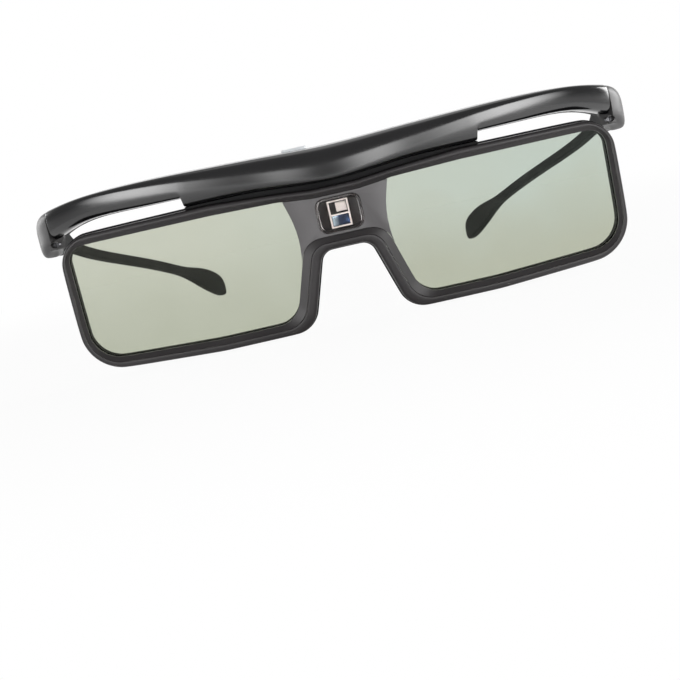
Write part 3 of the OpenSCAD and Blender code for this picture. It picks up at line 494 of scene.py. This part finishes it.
def rounded_piece(name, node, material, edge_mm, levels=0, sharp=35, segments=2):
    """A piece that stands for one solid, with edges rounded by edge_mm and levels of smoothing."""
    bm = bmesh.new()
    bm.from_mesh(frame["nodes"][node].data)
    bmesh.ops.remove_doubles(bm, verts=bm.verts, dist=WELD_MM * MM)
    if levels:
        bmesh.ops.join_triangles(bm, faces=bm.faces, angle_face_threshold=math.radians(JOIN_BEND_DEG),
                                 angle_shape_threshold=math.radians(JOIN_SKEW_DEG))
    else:
        bmesh.ops.dissolve_limit(bm, angle_limit=math.radians(FLAT_DEG), verts=bm.verts, edges=bm.edges)
    mesh = bpy.data.meshes.new(name)
    bm.to_mesh(mesh)
    bm.free()
    for face in mesh.polygons:
        face.use_smooth = True
    piece = bpy.data.objects.new(name, mesh)
    bpy.context.scene.collection.objects.link(piece)
    mesh.materials.append(material)
    bevel = piece.modifiers.new("edges", "BEVEL")
    bevel.width = edge_mm * MM
    bevel.segments = segments
    bevel.limit_method = "ANGLE"
    bevel.angle_limit = math.radians(sharp)
    bevel.harden_normals = not levels
    if levels:
        smooth = piece.modifiers.new("skin", "SUBSURF")
        smooth.levels = smooth.render_levels = levels
    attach(piece, body_of[node])
    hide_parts(node)
    print(name, "from", node, len(mesh.polygons), "faces")
    return piece


SIDES = ("left", "right")
MOULD_EDGE_MM = 0.12
rounded_piece("front_rim_moulding", "front_rim", satin_abs, MOULD_EDGE_MM, levels=2)
rounded_piece("rear_rim_moulding", "rear_rim", rear_abs, MOULD_EDGE_MM, levels=2)
rounded_piece("brow_front_moulding", "brow_front_cover", lacquered_abs, MOULD_EDGE_MM, levels=2)
rounded_piece("brow_rear_moulding", "brow_rear_cover", rear_abs, MOULD_EDGE_MM, levels=1)
for side in SIDES:
    rounded_piece(f"end_block_moulding_{side}", f"end_block_{side}", block_abs, MOULD_EDGE_MM, levels=2)
    rounded_piece(f"temple_moulding_{side}", f"temple_{side}", temple_abs, MOULD_EDGE_MM, levels=2)

# %% [markdown]
# ## Small pieces
#
# The plate between the lenses is set into the rim, and the line round it is dark, because its rounded
# edge turns away from the light. That shade is painted: the edge gets a second, darker material, which the
# bevel hands out by itself.
# In the receiver, the white housing has two wells whose insides are black, so that light from the side
# doesn't reach the die. The faces inside the wells are found by their place in the housing's box.

# %% Small rounded pieces
WELL_MARGIN_MM = 0.2

bridge_plate = rounded_piece("bridge_plate", "bridge_panel", grey_abs, 0.35)
# The edge's darker satin black is painted shade for the dark line round the plate
bridge_plate.data.materials.append(satin_abs)
bridge_plate.modifiers["edges"].material = 1
rounded_piece("bridge_back_plate", "bridge_back_cover", rear_abs, 0.2)
rounded_piece("brow_ledge", "brow_rail", rear_abs, 0.15)
rounded_piece("receiver_window_tub", "receiver_window", clear_pc, 0.5, segments=4)
receiver_body = rounded_piece("receiver_body", "receiver_housing", white_pbt, 0.1)
receiver_body.data.materials.append(chip_epoxy)
low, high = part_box("receiver_housing")
for face in receiver_body.data.polygons:
    at = face.center
    from_side = min(at.x - low.x, high.x - at.x, at.z - low.z, high.z - at.z)
    if min(from_side, at.y - low.y) > WELL_MARGIN_MM * MM:
        face.material_index = 1
rounded_piece("receiver_die", "photodiode", silicon, 0.06)
rounded_piece("receiver_amplifier", "receiver_chip", white_pbt, 0.1)
rounded_piece("button_cap", "power_button", milky_pc, 0.3, segments=4)
for side in SIDES:
    rounded_piece(f"frame_hinge_{side}", f"hinge_leaf_{side}", hinge_steel, 0.08)
    rounded_piece(f"temple_hinge_{side}", f"temple_leaf_{side}", hinge_steel, 0.08)
    rounded_piece(f"hinge_pin_{side}", f"hinge_screw_{side}", plated_steel, 0.06)

# %% [markdown]
# ## Lenses
#
# The films lie on the cell with nothing between. Two faces in the same plane confuse a renderer, so
# each film gives up a hundredth of a millimetre on the side that meets the cell.

# %% Lens films and cells
FILM_GAP_MM = 0.01


def film_piece(name, node, faces_back):
    """A copy of a film's solid, thinner by the gap on the side that faces the cell."""
    mesh = frame["nodes"][node].data.copy()
    low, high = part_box(node)
    middle = (low.y + high.y) / 2
    for vertex in mesh.vertices:
        if (vertex.co.y > middle) == faces_back:
            vertex.co.y += (-1 if faces_back else 1) * FILM_GAP_MM * MM
    mesh.materials.clear()
    mesh.materials.append(film)
    piece = bpy.data.objects.new(name, mesh)
    bpy.context.scene.collection.objects.link(piece)
    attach(piece, body_of[node])
    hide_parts(node)
    print(name, "film", round((high.y - low.y) / MM, 2), "mm thick")


for side in SIDES:
    film_piece(f"front_film_{side}", f"front_polariser_{side}", True)
    film_piece(f"rear_film_{side}", f"rear_polariser_{side}", False)

# %% [markdown]
# ## Materials of the solids that stay as they are
#
# The pieces inside the brow and behind the bridge have the right shape already and only need their
# finish. They are plain boxes and plates on the real thing too, so they are used as they come.

# %% Finishes of the inner pieces
finishes = {
    "lens_cell_left": cell_glass, "lens_cell_right": cell_glass,
    "shutter_tail_left": tail_amber, "shutter_tail_right": tail_amber,
    "receiver_board": board_brown, "main_board": board_green, "controller_chip": chip_epoxy,
    "battery_cell": pouch_foil, "charge_socket": plated_steel, "push_switch": chip_epoxy,
    "switch_plunger": white_pbt, "indicator_light": light_resin, "cover_screws": hinge_steel,
}
for node, material in finishes.items():
    slots = frame["nodes"][node].data.materials
    slots.clear()
    slots.append(material)
print("finished", len(finishes), "inner solids")

# %% [markdown]
# ## The end
#
# The Standard view shows a colour about as it is written, where a filmic view would grey the white.
# Rounding must not make it grow.

# %% Colour management
bpy.context.scene.view_settings.view_transform = "Standard"
